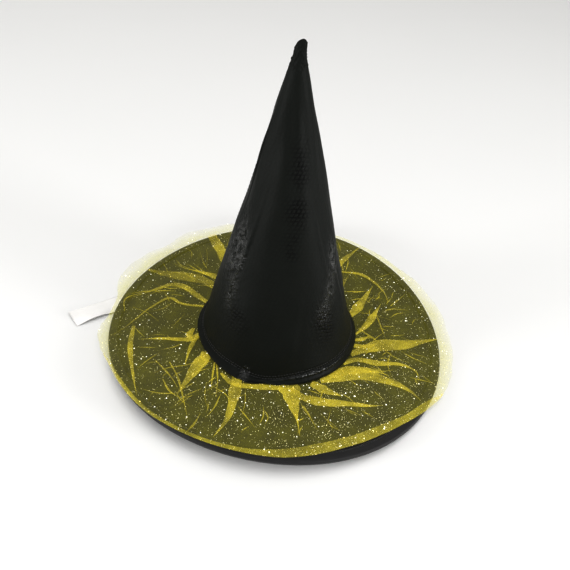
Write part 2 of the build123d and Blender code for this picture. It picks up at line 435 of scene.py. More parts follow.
def label_look():
    """White satin ribbon, left blank."""
    look = Look("white_satin_ribbon", Roughness=0.42, Specular_IOR_Level=0.45, Sheen_Weight=0.15)
    u = look.split(look.cloth_uv())[0]
    rib = look.math("PINGPONG", look.math("MULTIPLY", u, 1 / (0.45 * MM)), 0.5)
    look.bump(rib, 0.05 * MM, 0.6)
    look.colour(look.mix(look.noise(look.cloth_uv(), 90, 3), (0.86, 0.85, 0.83), (0.93, 0.92, 0.90)))
    return look.material


CROWN = crown_look()
BRIM_CLOTH = felt_look("brim_black_felt", (0.006, 0.006, 0.006), (0.013, 0.013, 0.012))
LINING = felt_look("lining_non_woven", (0.016, 0.016, 0.017), (0.036, 0.036, 0.037))
EDGE_TAPE = woven_look("edge_bias_tape", (0.006, 0.006, 0.006), (0.020, 0.020, 0.020), 0.7, 0.5, 0.55)
GROSGRAIN = woven_look(
    "sweatband_grosgrain", (0.008, 0.008, 0.009), (0.030, 0.030, 0.032), 1.3, 0.4, 0.6, 0.3
)
SEAM_TAPE = woven_look("seam_tape", (0.010, 0.010, 0.010), (0.028, 0.028, 0.028), 0.9, 0.6, 0.7)
THREAD = thread_look()
NET = net_look("yellow_net", 0.12, (0.68, 0.65, 0.02), (0.88, 0.83, 0.05), beyond=PAST_EDGE)
PLEATS = net_look(
    "yellow_net_folds", 0.305, (0.84, 0.70, 0.05), (1.0, 0.86, 0.11), (0.5, 1.25), 0.72, folded=True
)
HEMMED = net_look("yellow_net_hem", 0.20, (0.80, 0.68, 0.05), (0.95, 0.84, 0.12), (0.6, 1.2))
# Each glitter material glows with painted light for its glints; the bright one glows most.
GLITTER = glitter_look("glitter_pale_gold", (0.85, 0.76, 0.32), (1.0, 0.94, 0.60), 0.30)
GOLD = glitter_look("glitter_deep_gold", (0.90, 0.70, 0.12), (1.0, 0.86, 0.30), 0.45)
SPARKS = glitter_look("glitter_bright", (0.95, 0.92, 0.75), (1.0, 1.0, 0.90), 1.0)
LABEL = label_look()
WIRE = metal_look("hoop_spring_steel", 0.35)
SLEEVE = metal_look("sleeve_crimped_steel", 0.28)


# ---- crown ----------------------------------------------------------------------------------
# HEM_RADIUS and HEM_RISE pair bearings with mm. HEM_RADIUS started as points marked on the
# photograph, converted to the hat's frame. So did the places, but not the sizes and depths, in
# CRINKLED and EMBOSSED. HEM_RISE was chosen.
HEM_RADIUS = around(
    [(0, 91.0), (20, 92.5), (60, 91.5), (110, 91.0), (160, 91.5), (180, 92.0), (200, 91.0), (220, 91.5),
     (236, 93.5), (245, 95.8), (252, 97.6), (258, 94.5), (267, 89.6), (285, 90.4), (305, 89.4), (338, 89.6)],
    blur=3.5,
)
HEM_RISE = around(
    [(0, 11.0), (60, 10.0), (150, 8.5), (185, 6.0), (225, 5.5), (243, 5.0), (254, 2.0), (262, 1.6),
     (272, 4.0), (285, 8.5), (302, 11.5), (330, 12.5)],
    blur=4,
)
CRINKLED = [  # where the cloth is most crumpled: bearing, height, reach round, reach up, depth
    (211, 138 * MM, 17, 36 * MM, 0.72 * MM),
    (221, 84 * MM, 10, 26 * MM, 0.40 * MM),
    (338, 138 * MM, 10, 22 * MM, 0.58 * MM),
    (328, 106 * MM, 11, 20 * MM, 0.42 * MM),
    (314, 80 * MM, 12, 22 * MM, 0.38 * MM),
    (60, 120 * MM, 34, 66 * MM, 0.30 * MM),
    (128, 90 * MM, 34, 60 * MM, 0.26 * MM),
    (251, 12 * MM, 3.5, 6 * MM, 1.1 * MM),
]
EMBOSSED = [  # where the diamonds are crispest and the painted shade in their grooves darkest: bearing, height, reach round, reach up
    (290, 238 * MM, 20, 28 * MM),
    (286, 198 * MM, 17, 22 * MM),
    (281, 163 * MM, 11, 15 * MM),
    (316, 66 * MM, 14, 22 * MM),
    (236, 70 * MM, 10, 18 * MM),
    (30, 170 * MM, 20, 60 * MM),
    (95, 130 * MM, 22, 70 * MM),
    (165, 190 * MM, 20, 60 * MM),
]


# Bearing, height in mm, slant in degrees per mm, width in degrees, depth in mm
DRAG_FOLDS = [
    (200, 235, 0.10, 2.2, 1.3),
    (226, 150, 0.16, 3.0, 0.9),
    (318, 160, -0.14, 3.0, 0.9),
    (340, 110, -0.10, 2.6, 0.8),
    (40, 140, 0.12, 4.0, 1.0),
    (110, 170, -0.15, 4.0, 1.0),
    (285, 60, 0.12, 3.5, 0.5),
]


def diamond_pillows(u, v):
    """The embossed pattern over the flat cloth: 1 on each diamond, 0 in the grooves between."""
    across, along = u / DIAMOND[0], v / DIAMOND[1]
    one, two = across + along, across - along
    nearest = np.minimum(np.abs(one - np.round(one)), np.abs(two - np.round(two)))
    return smooth_step(*GROOVE, nearest)


def crown_dents(theta, z):
    """The crown's broad soft dents, as a change of radius."""
    fade = smooth_step(12 * MM, 60 * MM, z) * (1 - smooth_step(270 * MM, 330 * MM, z))
    broad = ripples(theta, z, 11, 5, (2, 5), (0.16, 0.34))
    tilted = ripples(theta, z, 12, 4, (3, 7), (0.07, 0.13))
    return (0.85 * broad + 0.35 * tilted) * MM * fade


def crumple_depth(theta, z):
    depth = 0.05 * MM + 0 * z
    for middle, height, reach, up, most in CRINKLED:
        depth = depth + most * hill(turned(np.degrees(theta), middle), 0, reach) * hill(z, height, up)
    return depth


def crown_crumple(theta, z):
    """Sharp little creases, deepest in a few places."""
    depth = crumple_depth(theta, z)
    fine = ripples(theta, z, 21, 10, (36, 110), (14 * MM, 60 * MM), folded=True)
    crackle = ripples(theta, z, 24, 6, (70, 120), (5 * MM, 14 * MM), folded=True)
    middling = ripples(theta, z, 23, 8, (14, 40), (12 * MM, 40 * MM), folded=True)
    long = ripples(theta, z, 22, 6, (9, 22), (40 * MM, 120 * MM), folded=True)
    return depth * (0.36 * crackle + 0.42 * fine + 0.42 * middling + 0.4 * long)


def emboss_strength(theta, z):
    """Where the snakeskin diamonds stand out most."""
    bearing = np.degrees(theta)
    strong = 0.12 + 0 * z
    for middle, height, reach, up in EMBOSSED:
        strong = np.maximum(strong, hill(turned(bearing, middle), 0, reach) * hill(z, height, up))
    return strong


def drag_folds(theta, z):
    """A few long soft folds that run slantwise down the sides."""
    total = 0.0
    bearing = np.degrees(theta)
    for middle, height, slant, width, depth in DRAG_FOLDS:
        away = turned(bearing, middle) - slant * (z / MM - height)
        reach = hill(z, height * MM, 42 * MM)
        total = total + depth * MM * hill(away, 0, width) * reach
        total = total - 0.6 * depth * MM * hill(away, 1.9 * width, width) * reach
    return total


def tip_profile(z):
    """Radius and sideways curl of the limp tip above the stiffened cone."""
    heights = np.array([325, 329, 332, 335, 338, 342, 345, 348, 349.7, 350.5]) * MM
    radii = np.array([8.74, 7.90, 7.25, 6.60, 5.95, 5.55, 5.00, 3.90, 2.10, 0.35]) * MM
    curl = np.array([0, 0, 0, 0, 0.1, 0.5, 1.1, 1.9, 2.5, 2.7]) * MM
    return np.interp(z, heights, radii), np.interp(z, heights, curl)


def developed(theta, z):
    """The crown's cloth laid flat: where a place on the cone comes from."""
    slope = CONE_RADIUS / (APEX - CONE_LEVEL)
    slant = (APEX - z) * math.hypot(1, slope)
    turn = theta * math.sin(math.atan(slope))
    return np.stack([slant * np.sin(turn), slant * np.cos(turn)], -1)


def build_crown():
    """One cone of cloth from its turned-out hem up to the limp tip."""
    columns, hem_rows, cone_rows, tip_rows = 600, 20, 300, 26
    theta = columns_of(columns)
    bearing = np.degrees(theta)
    edge_r = HEM_RADIUS(bearing) * MM
    rise = HEM_RISE(bearing) * MM
    edge_x, edge_y = edge_r * np.cos(theta), edge_r * np.sin(theta)
    base = HEM_LEVEL + warp(edge_x, edge_y)
    seam_z = base + rise
    stitched = hill(turned(bearing, 302), 0, 34)  # two stitch lines pull the hem in here
    radii, heights, shifts = [], [], []
    for t in np.linspace(0, 1, hem_rows, endpoint=False):
        roll = 1.1 * MM * math.sin(math.pi * min(1, t * 1.15)) ** 0.7
        tuck = -1.6 * MM * (1 - min(1, t * 6)) ** 2
        ridges = (0.5 * hill(t, 0.35, 0.09) + hill(t, 0.80, 0.08)) * stitched
        crimp = 0.7 * MM * ridges * (0.75 + 0.4 * np.sin(theta * 130))
        radii.append(edge_r + (cone_radius(seam_z) + 0.5 * MM - edge_r) * t + roll + tuck + crimp)
        heights.append(base + rise * t)
        shifts.append(0 * theta)
    for s in np.linspace(0, 1, cone_rows, endpoint=False):
        z = seam_z + (TIP_START - seam_z) * s
        above = z - seam_z
        sewn = 0.9 * hill(above, 0.3 * MM, 0.8 * MM) + 0.6 * hill(above, 3.0 * MM, 0.7 * MM)
        pucker = 1 + 0.7 * np.sin(theta * 150)
        flare = 0.9 * MM * np.exp(-above / (9 * MM))
        radii.append(cone_radius(z) + flare - sewn * 0.75 * MM * pucker)
        heights.append(z)
        shifts.append(0 * theta)
    for z in np.linspace(TIP_START, TIP_TOP, tip_rows):
        radius, curl = tip_profile(z)
        radii.append(radius + 0 * theta)
        heights.append(z + 0 * theta)
        shifts.append(curl + 0 * theta)
    radius, height, shift = np.array(radii), np.array(heights), np.array(shifts)
    rows = len(radius)
    around_it = np.broadcast_to(theta, radius.shape)
    near_tip = smooth_step(318 * MM, 332 * MM, height) * (1 - smooth_step(346 * MM, 350 * MM, height))
    radius = radius + crown_dents(around_it, height) + crown_crumple(around_it, height)
    radius = radius + drag_folds(around_it, height) * smooth_step(10 * MM, 40 * MM, height)
    from_seam = (around_it - math.pi / 2) % (2 * math.pi)  # the seam is at the back
    pattern = diamond_pillows(*np.moveaxis(developed(from_seam, height), -1, 0))
    radius = radius + 0.30 * MM * (pattern - 1) * emboss_strength(around_it, height)
    wrinkles = ripples(around_it, height, 31, 5, (2, 6), (6 * MM, 16 * MM), folded=True)
    radius = radius + 0.45 * MM * near_tip * wrinkles
    notch = hill(turned(np.degrees(around_it), 190), 0, 55) * hill(height, 336.5 * MM, 1.6 * MM)
    radius = np.maximum(radius - 0.8 * MM * notch, 0.3 * MM)
    centre_x, centre_y = axis_at(height)
    fold_in = smooth_step(HEM_LEVEL, 30 * MM, height)
    x = radius * np.cos(around_it) + centre_x * fold_in + shift
    y = radius * np.sin(around_it) + centre_y * fold_in
    points = np.stack([x, y, height], -1).reshape(-1, 3)
    faces, where = grid(rows, columns, close_columns=True)
    behind = np.where(where[:, 0, 1] < columns // 4, columns, 0)[:, None]
    uv = developed((where[..., 1] + behind) * (2 * math.pi / columns), height[where[..., 0], 0])
    pole = points[-columns:].mean(0) + np.array([0, 0, 0.05 * MM])
    points = np.vstack([points, pole])
    last, top = (rows - 1) * columns, rows * columns
    cap = [(last + j, last + (j + 1) % columns, top) for j in range(columns)]
    crown = make("crown_cloth", points, faces, uv, CROWN, loose=cap)
    worked = crumple_depth(around_it, height) / MM
    share = np.linspace(0, 1, hem_rows, endpoint=False)[:, None]
    front_edge = hill(turned(bearing, 268), 0, 14) * hill(share, 0.15, 0.12)
    hem_work = 0.22 + 0.36 * stitched * hill(share, 0.80, 0.14) + 0.4 * front_edge
    worked[:hem_rows] = np.maximum(worked[:hem_rows], hem_work)
    mark(crown, "crumpled", np.append(worked.ravel(), 0.1))
    mark(crown, "embossed", np.append(emboss_strength(around_it, height).ravel(), 0.1))
    shell = crown.modifiers.new("thickness", "SOLIDIFY")
    shell.thickness = CROWN_CLOTH
    shell.offset = -1
    return crown


def build_lining():
    """The stiffening sheet bonded inside the cone. It follows the cloth's broad dents."""
    columns, rows = 240, 90
    theta = columns_of(columns)
    low, high = 9 * MM, 316 * MM
    gap, thick = 1.35 * MM, 1.0 * MM
    z = np.linspace(low, high, rows)[:, None] + 0 * theta
    ang = np.broadcast_to(theta, z.shape)
    follow = crown_dents(ang, z) + 0.5 * drag_folds(ang, z) * smooth_step(10 * MM, 40 * MM, z)
    outer = cone_radius(z) - gap + np.minimum(follow, 0.4 * MM)
    inner = outer - thick - 0.12 * MM * ripples(ang, z, 41, 6, (10, 30), (12 * MM, 40 * MM), folded=True)
    radius, height = np.vstack([outer, inner[::-1]]), np.vstack([z, z[::-1]])
    return ring("crown_stiffening", radius, height, LINING, lift=False, centre=axis_at)


def build_back_tape():
    """The tape over the crown's seam, up the inside at the back."""
    rows = 60
    low, high, width, thick = 40 * MM, 305 * MM, 9 * MM, 0.5 * MM
    z = np.linspace(low, high, rows)
    points = []
    section = [(-1, 0), (-0.6, 0.12), (0, 0.2), (0.6, 0.12), (1, 0), (1, -1), (0, -1), (-1, -1)]
    for height in z:
        radius = cone_radius(height) - 3.3 * MM
        cx, cy = axis_at(height)
        wave = 0.15 * MM * math.sin(height * 260)
        narrow = min(width / 2, radius * 0.75)
        for side, depth in section:
            across = side * narrow + wave
            reach = math.sqrt(radius**2 - across**2) - 0.25 * MM
            points.append((cx + across, cy + reach + depth * thick, height))
    count = len(section)
    faces, where = grid(rows, count, close_columns=True)
    points = np.array(points)
    uv = np.stack([where[..., 1] * width / 4, z[where[..., 0]]], -1)
    ends = [tuple(range(count))[::-1], tuple(range((rows - 1) * count, rows * count))]
    return make("back_seam_ribbon", points, faces, uv, SEAM_TAPE, loose=ends)


# ---- stitches -------------------------------------------------------------------------------
def stitch_shape():
    """One stitch, a rounded bar of unit size along X."""
    sides = 6
    stations = [(-1.0, 0.0), (-0.8, 0.62), (0.0, 1.0), (0.8, 0.62), (1.0, 0.0)]
    points = [(stations[0][0], 0, 0)]
    for along, fat in stations[1:-1]:
        for k in range(sides):
            angle = 2 * math.pi * k / sides
            points.append((along, fat * math.cos(angle), fat * math.sin(angle)))
    points.append((stations[-1][0], 0, 0))
    faces = []
    for k in range(sides):
        after = (k + 1) % sides
        faces.append((0, 1 + after, 1 + k))
        for row in range(2):
            a, b = 1 + row * sides + k, 1 + row * sides + after
            faces.append((a, b, b + sides, a + sides))
        faces.append((1 + 2 * sides + k, 1 + 2 * sides + after, len(points) - 1))
    return np.array(points), faces


def sew(name, places, length, thick):
    """A row of single stitches. Each place is a point, the way the thread runs, and the way up."""
    template, template_faces = stitch_shape()
    points, faces = [], []
    for centre, along, up in places:
        along, up = np.array(along, float), np.array(up, float)
        along /= np.linalg.norm(along)
        up = up - along * (up @ along)
        up /= np.linalg.norm(up)
        side = np.cross(up, along)
        start = len(points) * len(template)
        turn = np.stack([along * length / 2, side * thick / 2, up * thick / 2])
        points.append(template @ turn + np.array(centre, float))
        faces += [tuple(i + start for i in face) for face in template_faces]
    return solid(name, np.vstack(points).tolist(), faces, THREAD)


def circle_of_stitches(radius_at, level_at, pitch, slope, seed, centre=None, lift=True):
    """Places for stitches round the hat. slope is the surface's rise: 0 lies flat and 1 stands up."""
    rng = np.random.default_rng(seed)
    count = int(2 * math.pi * radius_at(0) / pitch)
    places = []
    for k in range(count):
        bearing = 360 * (k + rng.uniform(-0.12, 0.12)) / count
        theta = math.radians(bearing)
        radius, level = radius_at(bearing), level_at(bearing)
        x, y = radius * math.cos(theta), radius * math.sin(theta)
        z = level + (warp(x, y) if lift else 0)
        if centre:
            shift = centre(level)
            x, y = x + shift[0], y + shift[1]
        out = (math.cos(theta), math.sin(theta), 0)
        along = (-math.sin(theta), math.cos(theta), rng.uniform(-0.06, 0.06))
        up = (out[0] * slope, out[1] * slope, 1 - abs(slope) * 0.7)
        places.append(((x, y, z), along, up))
    return places


# ---- brim -----------------------------------------------------------------------------------
def brim_wave(theta, radius, seed, depth):
    """Slight unevenness of a sheet, as a change of height."""
    return depth * ripples(theta, radius, seed, 6, (2, 9), (60 * MM, 200 * MM))


def build_brim_sheet(name, level, material, seed, thick=CLOTH):
    columns, rows = 300, 36
    theta = columns_of(columns)
    radius = np.linspace(BRIM_INNER + 0.2 * MM, BRIM_RADIUS - 1.1 * MM, rows)[:, None] + 0 * theta
    ang = np.broadcast_to(theta, radius.shape)
    uneven = np.minimum(brim_wave(ang, radius, seed, 0.12 * MM), 0.15 * MM)
    edge = smooth_step(0, 12 * MM, BRIM_RADIUS - radius)
    top = level + thick - 0.2 * MM + uneven * edge
    height = np.vstack([top, (top - thick + 0.2 * MM)[::-1]])
    return ring(name, np.vstack([radius, radius[::-1]]), height, material)


def build_edge_tape():
    """Bias tape folded round the brim's edge, a little wavy along its inner edges."""
    columns = 540
    theta = columns_of(columns)
    low = -LABEL_ROOM - TAPE
    top = BRIM_THICK + 0.1 * MM + TAPE
    wavy = 0.35 * MM * ripples(theta, 0 * theta, 51, 6, (11, 37), (1, 2))
    puff = 0.12 * MM * (1 + ripples(theta, 0 * theta, 52, 5, (40, 90), (1, 2)))
    inner = BRIM_RADIUS - TAPE_WIDTH + wavy
    middle = (top + low) / 2
    bend, shares = BRIM_RADIUS - 2.2 * MM, (0, 0.15, 0.4, 0.7)
    dip = {0: 0.35 * MM}  # the tape's own edges are pressed in
    outline = []
    for share in shares:
        outline.append((inner + (bend - inner) * share, top - dip.get(share, 0) + puff * share))
    half = (top - low) / 2
    steepest = math.sin(math.radians(78))
    for angle in np.radians([78, 55, 30, 8, -8, -30, -55, -78]):
        outline.append((bend + 2.2 * MM * math.cos(angle), middle + half * math.sin(angle) / steepest))
    for share in reversed(shares):
        outline.append((inner + (bend - inner) * share, low + dip.get(share, 0)))
    for level, inside in ((-LABEL_ROOM, (0.1, 0.6, 1.0)), (BRIM_THICK + 0.1 * MM, (1.0, 0.6, 0.1))):
        for share in inside:
            outline.append((inner + (BRIM_RADIUS - 1.0 * MM - inner) * share, level))
    radius = np.array([r + 0 * theta for r, z in outline])
    height = np.array([z + 0 * theta for r, z in outline])
    return ring("edge_bias_tape", radius, height, EDGE_TAPE, stretch=BRIM_RADIUS)


def build_opening_tape():
    """Tape round the head opening, with rolled edges."""
    columns = 240
    theta = columns_of(columns)
    uneven = 0.15 * MM * ripples(theta, 0 * theta, 61, 5, (5, 17), (1, 2))
    outline = [(84.8, -2.6), (84.8, 3.0), (84.8, 8.6), (84.6, 8.95), (84.3, 9.0), (84.1, 8.7), (84.0, 8.0),
               (84.0, 3.0), (84.0, -2.0), (84.1, -2.7), (84.35, -3.0), (84.65, -2.95)]
    radius = np.array([r * MM + 0 * theta for r, z in outline])
    height = np.array([z * MM + uneven * (1 if abs(z - 3) > 4 else 0) for r, z in outline])
    return ring("opening_bound_tape", radius, height, SEAM_TAPE, lift=False)


def build_sweatband():
    """Grosgrain band inside the crown, a little wavy at its free upper edge."""
    columns, rows = 320, 14
    theta = columns_of(columns)
    low, high = 10.8 * MM, 35.2 * MM
    z = np.linspace(low, high, rows)[:, None] + 0 * theta
    ang = np.broadcast_to(theta, z.shape)
    share = (z - low) / (high - low)
    wave = 0.35 * MM * share * ripples(ang, z, 71, 5, (5, 16), (60 * MM, 200 * MM))
    outer = cone_radius(z) - 2.75 * MM + np.minimum(wave, 0)
    inner = outer - 0.8 * MM
    radius, height = np.vstack([outer, inner[::-1]]), np.vstack([z, z[::-1]])
    return ring("sweatband_ribbon", radius, height, GROSGRAIN, lift=False, centre=axis_at)


# ---- net ------------------------------------------------------------------------------------
# NET_EDGE, HEM_BAND and the places in FOLDS started as points marked on the photograph,
# converted to bearings and distances in mm in the hat's frame, and some were then changed.
NET_EDGE = around(
    [(0, 206), (9, 207), (21, 207), (31, 204), (44, 197), (60, 194), (78, 192), (96, 192), (110, 203),
     (119, 210), (131, 213), (139, 206), (148, 217), (156, 217), (164, 209), (169, 198), (173, 193.5),
     (181, 193.5), (186, 199), (190, 203), (197, 199), (206, 193), (216, 191.5), (232, 190.5),
     (240, 188.5), (250, 187), (262, 185.5), (276, 185), (287, 181), (297, 178), (310, 178.5),
     (320, 182), (327, 187), (334, 193), (341, 199), (350, 204)],
    blur=2.5,
)
HEM_BAND = around(
    [(199, 0.3), (207, 3.5), (215, 4.5), (235, 4.0), (255, 4.5), (266, 6), (276, 11), (287, 13),
     (299, 11.5), (313, 11), (324, 8.5), (333, 9.5), (338, 6), (342, 0.3)],
    blur=2,
)


def net_height(x, y):
    """Level of the net over the brim, and its droop past the edge."""
    radius, theta = np.hypot(x, y), np.arctan2(y, x)
    level = NET_LEVEL + (NET_AT_EDGE - NET_LEVEL) * smooth_step(172 * MM, 180 * MM, radius)
    loose = smooth_step(90 * MM, 112 * MM, radius) * (1 - smooth_step(165 * MM, 181 * MM, radius))
    puff = 0.9 * MM * loose * (1 + ripples(theta, radius, 81, 6, (3, 9), (50 * MM, 130 * MM))) / 1.6
    creases = 0.22 * MM * loose * ripples(theta, radius, 82, 7, (9, 30), (25 * MM, 80 * MM), folded=True)
    past = np.maximum(radius - BRIM_RADIUS, 0)
    lobes = 1 + 0.5 * np.sin(7 * theta + 1.1)
    droop = 7.5 * past**2 * lobes
    flutter = 1.2 * MM * smooth_step(0, 14 * MM, past) * np.sin(theta * 23)
    height = level + np.maximum(puff, 0) + np.maximum(creases, -0.1 * MM) - droop + flutter + warp(x, y)
    return np.maximum(height, FLOOR + 0.5 * MM)


def build_net():
    """The single layer of net that covers the brim."""
    columns, rows = 720, 84
    theta = columns_of(columns)
    bearing = np.degrees(theta)
    frayed = 0.5 * MM * ripples(theta, 0 * theta, 83, 6, (19, 71), (1, 2))
    edge = NET_EDGE(bearing) * MM + frayed * smooth_step(4 * MM, 8 * MM, NET_EDGE(bearing) * MM - BRIM_RADIUS)
    share = np.linspace(0, 1, rows)[:, None]
    radius = NET_INNER + (edge - NET_INNER) * share
    ang = np.broadcast_to(theta, radius.shape)
    x, y = radius * np.cos(ang), radius * np.sin(ang)
    points = np.stack([x, y, net_height(x, y)], -1).reshape(-1, 3)
    faces, where = grid(rows, columns, close_columns=True)
    flat = points.reshape(rows, columns, 3)
    uv = flat[where[..., 0] % rows, where[..., 1] % columns][..., :2]
    return make("tulle_net", points, faces, uv, NET)


def smooth_path(points, count):
    """A Catmull-Rom line through a few points, evenly sampled."""
    p = np.array(points, float)
    if len(p) == 2:
        return p[0] + (p[1] - p[0]) * np.linspace(0, 1, count)[:, None]
    p = np.vstack([2 * p[0] - p[1], p, 2 * p[-1] - p[-2]])
    line = []
    for k in range(1, len(p) - 2):
        a, b, c, d = p[k - 1 : k + 3]
        for t in np.linspace(0, 1, 24, endpoint=False):
            cubic = (2 * a - 5 * b + 4 * c - d) * t * t + (3 * b - a - 3 * c + d) * t**3
            line.append(0.5 * (2 * b + (c - a) * t + cubic))
    line = np.array([*line, p[-2]])
    along = np.concatenate([[0], np.cumsum(np.linalg.norm(np.diff(line, axis=0), axis=1))])
    at = np.linspace(0, along[-1], count)
    return np.stack([np.interp(at, along, line[:, 0]), np.interp(at, along, line[:, 1])], -1)


def on_brim(bearing, radius_mm):
    theta = math.radians(bearing)
    return radius_mm * MM * math.cos(theta), radius_mm * MM * math.sin(theta)


# A fold's places (bearing, mm from the axis), its width in mm, where along it it is widest, its
# width at its start as a share of the widest, and for some, its width at its end and how dense it is
FOLDS = [
    ([(124, 92), (123, 144), (122, 189)], 15, 0.4, 0.85, 0.8),
    ([(143, 92), (144, 120), (150, 152), (154, 190)], 17, 0.55, 0.5, 0.1, 0.5),
    ([(160, 92), (157, 110), (155, 130), (157, 146), (164, 160), (171, 179)], 9, 0.35, 0.7, 0, 0.85),
    ([(165, 92), (168, 118), (166, 136), (175, 150), (182, 160), (188, 172), (193, 188)],
     4, 0.3, 0.9, 0, 0.8),
    ([(188, 163), (197, 166), (205, 169), (217, 177), (224, 185)], 6.5, 0.3, 0.6),
    ([(196, 88), (200, 103), (197, 128), (196, 158)], 8, 0.2, 1.0),
    ([(198, 93), (209, 106), (220, 122)], 5, 0.3, 0.9),
    ([(190, 96), (196, 101), (202, 97)], 8, 0.5, 0.6),
    ([(217, 88), (222, 106), (227, 125), (232, 152)], 15, 0.3, 0.75),
    ([(214, 94), (219, 98), (225, 95)], 6, 0.5, 0.6),
    ([(227, 92), (235, 108), (241, 124)], 2.2, 0.3, 0.8),
    ([(229, 92), (238, 106), (245, 128)], 1.8, 0.3, 0.8),
    ([(247, 92), (251, 110), (254, 133), (255, 154), (254, 178)], 13, 0.22, 0.85),
    ([(237, 98), (245, 102), (253, 104)], 7, 0.6, 0.5),
    ([(250, 103), (263, 95.5), (277, 93), (288, 96)], 8, 0.5, 0.8),
    ([(282, 88), (283, 100), (283, 118), (283, 141)], 23, 0.15, 0.95),
    ([(283, 130), (283, 146), (282, 158)], 2, 0.3, 0.9),
    ([(284, 94), (290, 108), (299, 119), (308, 129), (317, 145), (322, 154)], 12, 0.35, 0.5),
    ([(299, 90), (304, 104), (310, 120)], 13, 0.4, 0.7),
    ([(306, 88), (320, 96), (331, 112), (335, 138), (336, 164), (334, 182)], 19, 0.35, 0.7),
    ([(314, 88), (329, 100), (337, 120), (339, 138)], 14, 0.35, 0.8),
    ([(331, 88), (340, 98), (343, 119), (348, 145), (347, 164), (342, 170)], 8, 0.35, 0.7),
    ([(343, 89), (353, 107), (357, 120), (1, 149), (6, 191)], 19, 0.45, 0.45),
    ([(352, 88), (354, 104), (359, 118)], 7, 0.4, 0.8),
    ([(358, 88), (0, 98), (4, 108)], 6, 0.5, 0.6),
    ([(2, 88), (14, 108), (28, 138)], 9, 0.55, 0.25),
    ([(22, 88), (29, 106), (40, 146)], 12, 0.35, 0.6),
    ([(58, 132), (51, 146), (45, 151), (37, 152), (31, 150), (26, 144)], 4.5, 0.4, 0.5),
    ([(63, 92), (62, 140), (60, 190)], 11, 0.45, 0.5),
    ([(72, 90), (80, 130), (78, 176)], 9, 0.4, 0.5),
    ([(92, 90), (95, 124), (104, 160)], 12, 0.35, 0.7),
    ([(104, 90), (110, 122), (108, 150)], 8, 0.35, 0.8),
    ([(138, 90), (137, 118), (143, 150)], 8, 0.4, 0.7),
    ([(214, 133), (226, 138), (243, 170)], 2.4, 0.4, 0.5),
    ([(222, 151), (229, 155), (236, 153)], 2.2, 0.4, 0.5),
    ([(246, 184), (246, 170), (245, 156)], 2.4, 0.4, 0.5),
    ([(210, 146), (222, 142), (231, 147)], 2.0, 0.4, 0.5),
    ([(10, 96), (2, 112), (357, 126)], 2.6, 0.4, 0.6),
    ([(288, 119), (290, 152)], 2.2, 0.3, 0.8),
    ([(25, 147), (30, 176)], 2.2, 0.4, 0.5),
    ([(21, 124), (3, 126)], 2.0, 0.4, 0.5),
    ([(179, 178), (172, 184), (166, 168)], 2.2, 0.5, 0.4),
]


Tube = namedtuple("Tube", "points faces uv ends top dense")  # top: the points of its upper side


def net_tube(points, rows, top_columns, dense=1.0):
    """A closed tube of net from the points of its rows, with its ends and its upper side."""
    points = np.vstack(points)
    columns = len(points) // rows
    faces, where = grid(rows, columns, close_columns=True)
    ends = [tuple(range(columns)), tuple(range((rows - 1) * columns, rows * columns))[::-1]]
    flat = points.reshape(rows, columns, 3)
    uv = flat[where[..., 0] % rows, where[..., 1] % columns][..., :2]
    if not outward(points, faces):
        faces, uv = faces[:, ::-1], uv[:, ::-1]
        ends = [e[::-1] for e in ends]
    return Tube(points, faces, uv, ends, flat[:, top_columns], dense)


def fold_tube(path, width, peak, start, lift, base_gap, seed, blunt=0.0, dense=1.0):
    """A fold of net lying on the sheet: two more layers, joined along both edges."""
    rng = np.random.default_rng(seed)
    count = len(path)
    s = np.linspace(0, 1, count)
    rise = start + (1 - start) * smooth_step(0, peak, s)
    fall = 1 - np.clip((s - peak) / (1 - peak), 0, 1) * (1 - blunt)
    half = 0.5 * width * np.minimum(rise, fall)
    wobble = 1 + 0.07 * np.sin(s * rng.uniform(14, 26) + rng.uniform(0, 6))
    half = np.maximum(half * wobble, 0.12 * MM)
    ahead = np.gradient(path, axis=0)
    ahead /= np.linalg.norm(ahead, axis=1)[:, None]
    side = np.stack([-ahead[:, 1], ahead[:, 0]], -1)
    lean = rng.uniform(-0.5, 0.5)
    across = np.array([-1, -0.93, -0.7, -0.35, 0, 0.35, 0.7, 0.93, 1, 0.7, 0.35, 0, -0.35, -0.7])
    on_top = np.array([0] + [1] * 7 + [0] * 6)
    thick = np.minimum(lift, 0.45 * half + 0.15 * MM)
    points = []
    for k in range(count):
        shape = (1 - across**2) ** 0.6 * (1 + lean * across) * on_top
        plan = path[k] + side[k] * (across * half[k])[:, None]
        base = net_height(plan[:, 0], plan[:, 1]) + base_gap
        crease = 0.10 * thick[k] * np.sin(across * 9 + k * 0.35)
        z = base + shape * (thick[k] + crease)
        points.append(np.column_stack([plan, z]))
    return net_tube(points, count, slice(1, 8), dense)


def join_tubes(name, tubes, material):
    faces, ends, start = [], [], 0
    for tube in tubes:
        faces.append(tube.faces + start)
        ends += [tuple(i + start for i in end) for end in tube.ends]
        start += len(tube.points)
    points, uvs = (np.vstack(parts) for parts in ([t.points for t in tubes], [t.uv for t in tubes]))
    piece = make(name, points, np.vstack(faces), uvs, material, loose=ends)
    mark(piece, "layers", np.concatenate([np.full(len(t.points), t.dense) for t in tubes]))
    return piece


CREASE_TRIES = 190  # those that would run off the net are dropped
FLAKES = 4400  # loose on the net


def big_folds():
    tubes = []
    for k, (places, width, peak, start, *rest) in enumerate(FOLDS):
        path = smooth_path([on_brim(*p) for p in places], 46)
        tubes.append(fold_tube(path, width * MM, peak, start, 1.3 * MM, 0.12 * MM, 300 + k, *rest))
    return tubes


